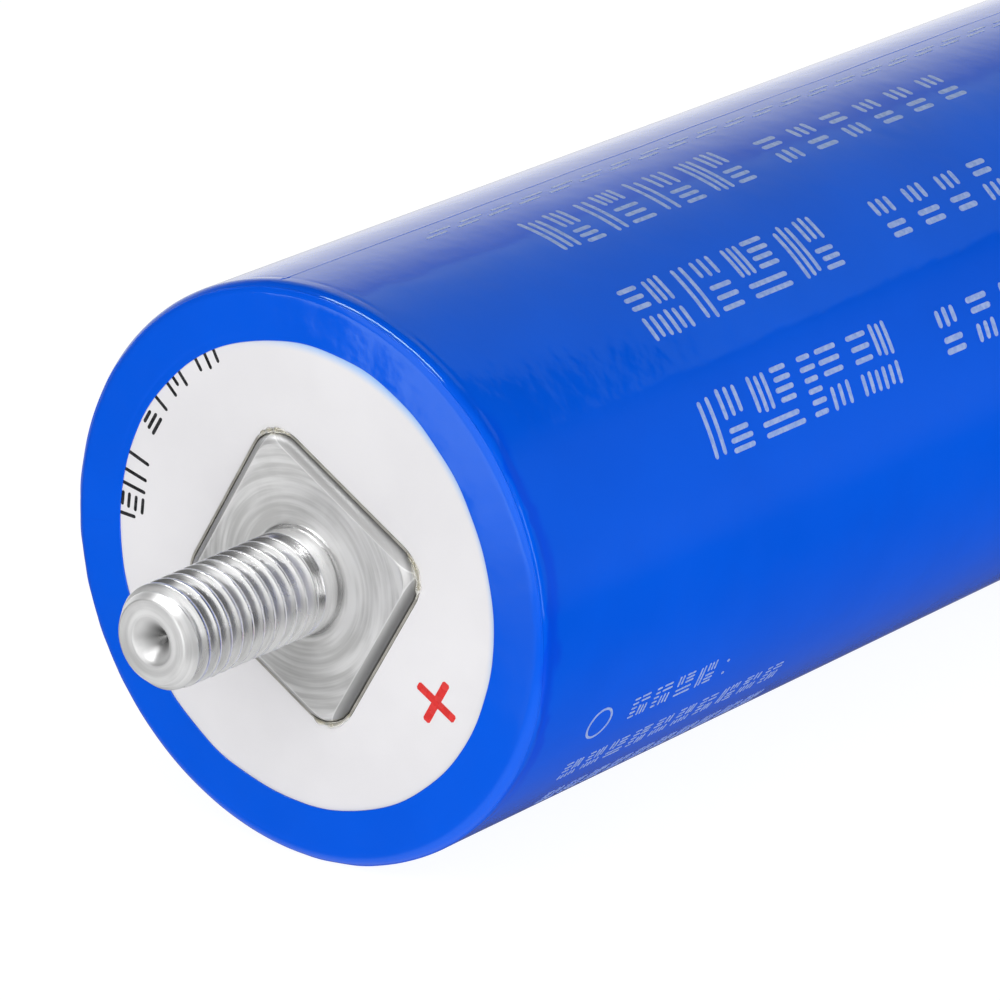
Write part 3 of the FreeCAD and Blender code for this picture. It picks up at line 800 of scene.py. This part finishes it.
build_seam()
build_crease("positive", SEED + 5)
build_crease("negative", SEED + 6)
for end in ("positive", "negative"):
    hairline = [(*polar(179.5, R_RIM + 0.5), *polar(180.8, R_CELL - SHOULDER - 0.1), 0.09)]
    build_strokes(end + "_ring_fold", hairline, on_ring(end), FILM_BLUE, thick=0.025)


# ---- carried-over CAD nodes -------------------------------------------------------------------
def dress(node, material):
    """Give a carried-over CAD node one material in all its slots."""
    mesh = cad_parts[node].data
    if not mesh.materials:
        mesh.materials.append(material)
    for index in range(len(mesh.materials)):
        mesh.materials[index] = material


CAN = plain_material("can_aluminium", (0.66, 0.66, 0.66), (0.78, 0.78, 0.78), 60.0, (0.25, 0.4), 1.0)
INSULATOR = plain_material("insulator_plastic", (0.10, 0.10, 0.11), (0.14, 0.14, 0.15), 120.0)
COLLECTOR = plain_material("collector_aluminium", (0.70, 0.70, 0.70), (0.82, 0.82, 0.82), 80.0,
                           (0.3, 0.45), 1.0)
WASHER = plain_material("washer_steel", (0.50, 0.50, 0.51), (0.60, 0.60, 0.61), 150.0, (0.25, 0.4), 1.0)
POSITIVE_SHEET = plain_material("positive_sheet", (0.035, 0.035, 0.04), (0.055, 0.055, 0.06), 200.0,
                                (0.7, 0.85))
NEGATIVE_SHEET = plain_material("negative_sheet", (0.09, 0.085, 0.085), (0.13, 0.125, 0.12), 200.0,
                                (0.7, 0.85))
SEPARATOR = plain_material("separator_film", (0.78, 0.78, 0.77), (0.86, 0.86, 0.85), 150.0, (0.4, 0.55))
CORE = plain_material("core_plastic", (0.30, 0.31, 0.33), (0.38, 0.39, 0.41), 120.0)
WRAP = plain_material("wrap_film", (0.10, 0.28, 0.16), (0.13, 0.34, 0.20), 120.0, (0.3, 0.45))

for end in ("positive", "negative"):
    dress(end + "_terminal", TURNED)
    dress(end + "_terminal_tray", CLEAR_TRAY)
    dress(end + "_end_disc", WHITE_DISC)
    dress(end + "_cover", CAN)
    dress(end + "_inner_insulator", INSULATOR)
    dress(end + "_collector", COLLECTOR)
    dress(end + "_rivet_washer", WASHER)
dress("heat_shrink_sleeve", FILM_BLUE)
dress("can", CAN)
dress("vent_disc", COLLECTOR)
dress("fill_plug", COLLECTOR)
dress("positive_electrode", POSITIVE_SHEET)
dress("negative_electrode", NEGATIVE_SHEET)
dress("outer_separator", SEPARATOR)
dress("inner_separator", SEPARATOR)
dress("winding_core", CORE)
dress("winding_wrap", WRAP)


# ---- floor, light and camera ------------------------------------------------------------------
def build_floor():
    """Large pale floor with an even glow of its own; it doesn't show in gloss."""
    size = 30.0
    cells = 60
    line = np.linspace(-size, size, cells + 1)
    points = [(x, y, FLOOR_Z) for y in line for x in line]
    faces = []
    for j in range(cells):
        for i in range(cells):
            a = j * (cells + 1) + i
            faces.append((a, a + 1, a + cells + 2, a + cells + 1))
    mesh = bpy.data.meshes.new("pale_floor")
    mesh.from_pydata(points, [], faces)
    s = Shader("pale_floor")
    s.set(Base_Color=s.mix(s.noise(2.0), (0.15, 0.15, 0.15), (0.17, 0.17, 0.17)), Roughness=0.9,
          Emission_Color=(1.0, 1.0, 1.0), Emission_Strength=0.93)
    mesh.materials.append(s.material)
    floor = bpy.data.objects.new("pale_floor", mesh)
    bpy.context.scene.collection.objects.link(floor)
    floor.visible_glossy = False


def softbox(name, centre, aim, width, height, radiance, roll_to=(0, 0, 1)):
    """Rectangular light that faces the point aim and glows evenly."""
    data = bpy.data.lights.new(name, "AREA")
    data.shape = "RECTANGLE"
    data.size = width
    data.size_y = height
    data.energy = radiance * math.pi * width * height
    light = bpy.data.objects.new(name, data)
    forward = (Vector(aim) - Vector(centre)).normalized()
    right = forward.cross(Vector(roll_to)).normalized()
    up = right.cross(forward)
    light.matrix_world = Matrix((
        (right.x, up.x, -forward.x, centre[0]),
        (right.y, up.y, -forward.y, centre[1]),
        (right.z, up.z, -forward.z, centre[2]),
        (0, 0, 0, 1),
    ))
    bpy.context.scene.collection.objects.link(light)
    light.visible_camera = False
    return light


def build_world():
    """Glow of the studio round the cell; its brightness depends on direction alone."""
    world = bpy.data.worlds.new("studio")
    bpy.context.scene.world = world
    world.use_nodes = True
    tree = world.node_tree
    tree.nodes.clear()
    output = tree.nodes.new("ShaderNodeOutputWorld")
    background = tree.nodes.new("ShaderNodeBackground")
    tree.links.new(background.outputs[0], output.inputs["Surface"])
    coords = tree.nodes.new("ShaderNodeTexCoord").outputs["Generated"]

    def dot(direction):
        node = tree.nodes.new("ShaderNodeVectorMath")
        node.operation = "DOT_PRODUCT"
        tree.links.new(coords, node.inputs[0])
        node.inputs[1].default_value = Vector(direction).normalized()
        return node.outputs["Value"]

    def combine(operation, a, b):
        node = tree.nodes.new("ShaderNodeMath")
        node.operation = operation
        tree.links.new(a, node.inputs[0])
        tree.links.new(b, node.inputs[1])
        return node.outputs[0]

    def multiply(a, b):
        return combine("MULTIPLY", a, b)

    def add(a, b):
        return combine("ADD", a, b)

    def spread(value, low, high, to_low, to_high):
        node = tree.nodes.new("ShaderNodeMapRange")
        node.interpolation_type = "SMOOTHSTEP"
        for socket, number in zip(node.inputs, (value, low, high, to_low, to_high)):
            if isinstance(number, bpy.types.NodeSocket):
                tree.links.new(number, socket)
            else:
                socket.default_value = number
        return node.outputs[0]

    # dark all round, a glow low down behind the cell on its left, and a fill in front and below
    height = dot((0, 0, 1))
    back_left = spread(dot((-0.68, 0.73, 0.0)), 0.35, 0.95, 0.0, 1.0)
    glow_up = spread(height, 0.22, 0.72, 1.56, 0.10)
    glow_down = spread(height, -0.50, -0.06, 0.05, 1.0)
    across, away = dot((1, 0, 0)), dot((0, 1, 0))
    front = multiply(multiply(spread(across, -0.57, -0.42, 0.0, 1.0), spread(away, -0.78, -0.56, 1.3, 0.0)),
                     spread(height, -0.45, 0.10, 0.08, 1.0))
    fill = spread(dot((-0.1, -0.97, 0.2)), -0.1, 0.5, 0.01, 0.07)
    below = multiply(spread(height, -0.75, -0.35, 0.34, 0.0), spread(away, 0.1, 0.5, 2.2, 0.30))
    right = spread(dot((0.64, 0.735, 0.15)), 0.90, 0.975, 0.0, 0.17)
    glow = multiply(multiply(glow_up, glow_down), back_left)
    strength = add(add(add(front, fill), right), add(glow, below))
    tree.links.new(strength, background.inputs["Strength"])


def build_camera():
    """Camera at the photograph's viewing angle, with no shift and no depth of field."""
    data = bpy.data.cameras.new("camera")
    data.lens = 237.16
    data.sensor_width = 36.0
    data.clip_start = 0.05
    data.clip_end = 20.0
    camera = bpy.data.objects.new("camera", data)
    camera.location = (0.43225, -0.58689, 0.24967)
    camera.rotation_mode = "QUATERNION"
    camera.rotation_quaternion = Vector((-0.58695, 0.73477, -0.34000)).to_track_quat("-Z", "Y")
    bpy.context.scene.collection.objects.link(camera)
    bpy.context.scene.camera = camera


def build_card():
    """White card that lies in front of the cell and shows only in its gloss."""
    along = Vector((0.73, 0.69, 0.0))
    across = Vector((0.69, -0.73, 0.0))
    near, left, length, depth = -0.45, 0.082, 0.37, 0.25
    corners = []
    for w, q in ((near, left), (near + length, left), (near + length, left + depth), (near, left + depth)):
        corners.append(tuple(along * w + across * q + Vector((0, 0, FLOOR_Z + 0.0005))))
    mesh = bpy.data.meshes.new("front_card")
    mesh.from_pydata(corners, [], [(0, 1, 2, 3)])
    s = Shader("front_card")
    x, y, _ = s.split(s.place)
    w = s.math("ADD", s.math("MULTIPLY", x, along.x), s.math("MULTIPLY", y, along.y))
    q = s.math("ADD", s.math("MULTIPLY", x, across.x), s.math("MULTIPLY", y, across.y))
    glow = s.math("MULTIPLY", s.spread(w, -0.205, -0.110, 1.70, 0.30), s.spread(q, 0.083, 0.092))
    s.set(Base_Color=(0.0, 0.0, 0.0), Emission_Color=(1.0, 1.0, 1.0), Emission_Strength=glow)
    mesh.materials.append(s.material)
    card = bpy.data.objects.new("front_card", mesh)
    bpy.context.scene.collection.objects.link(card)
    card.visible_camera = False
    card.visible_diffuse = False
    card.visible_shadow = False


def build_lights():
    """A panel overhead, two strips that show only in gloss, and two boxes that don't show in it."""
    # the panel's front edge runs aslant through edge_point, and the panel lies behind that edge
    edge_point = Vector((0.49, 1.157, 1.0))
    edge_along = Vector((0.822, 0.569, 0.0))
    edge_in = Vector((-0.569, 0.822, 0.0))
    panel = edge_point + edge_in * 0.45 - edge_along * 0.6
    overhead = softbox("overhead_panel", panel, panel - Vector((0, 0, 1)), 2.4, 0.9, 0.30, roll_to=edge_in)
    overhead.data.color = (0.80, 1.16, 0.92)
    for name, centre, aim, width, height, radiance in (
            ("top_strip", (-0.12, -0.50, 0.95), (0, -0.07, 0), 0.9, 0.15, 15.0),
            ("flank_strip", (1.14, -0.27, 0.12), (0, -0.08, 0), 0.75, 0.16, 3.2)):
        strip = softbox(name, centre, aim, width, height, radiance, roll_to=(0, 1, 0))
        strip.visible_diffuse = False
    for name, centre, width, height, radiance in (("right_softbox", (1.15, -0.42, 0.60), 0.8, 0.7, 4.7),
                                                  ("front_softbox", (0.39, -0.85, 0.91), 0.8, 0.8, 2.1)):
        box = softbox(name, centre, (0, -0.02, 0), width, height, radiance, roll_to=(0, 0.6, 0.8))
        box.visible_glossy = False


build_floor()
build_card()
build_world()
build_camera()
build_lights()
bpy.context.scene.view_settings.view_transform = "Standard"
bpy.context.scene.view_settings.look = "None"
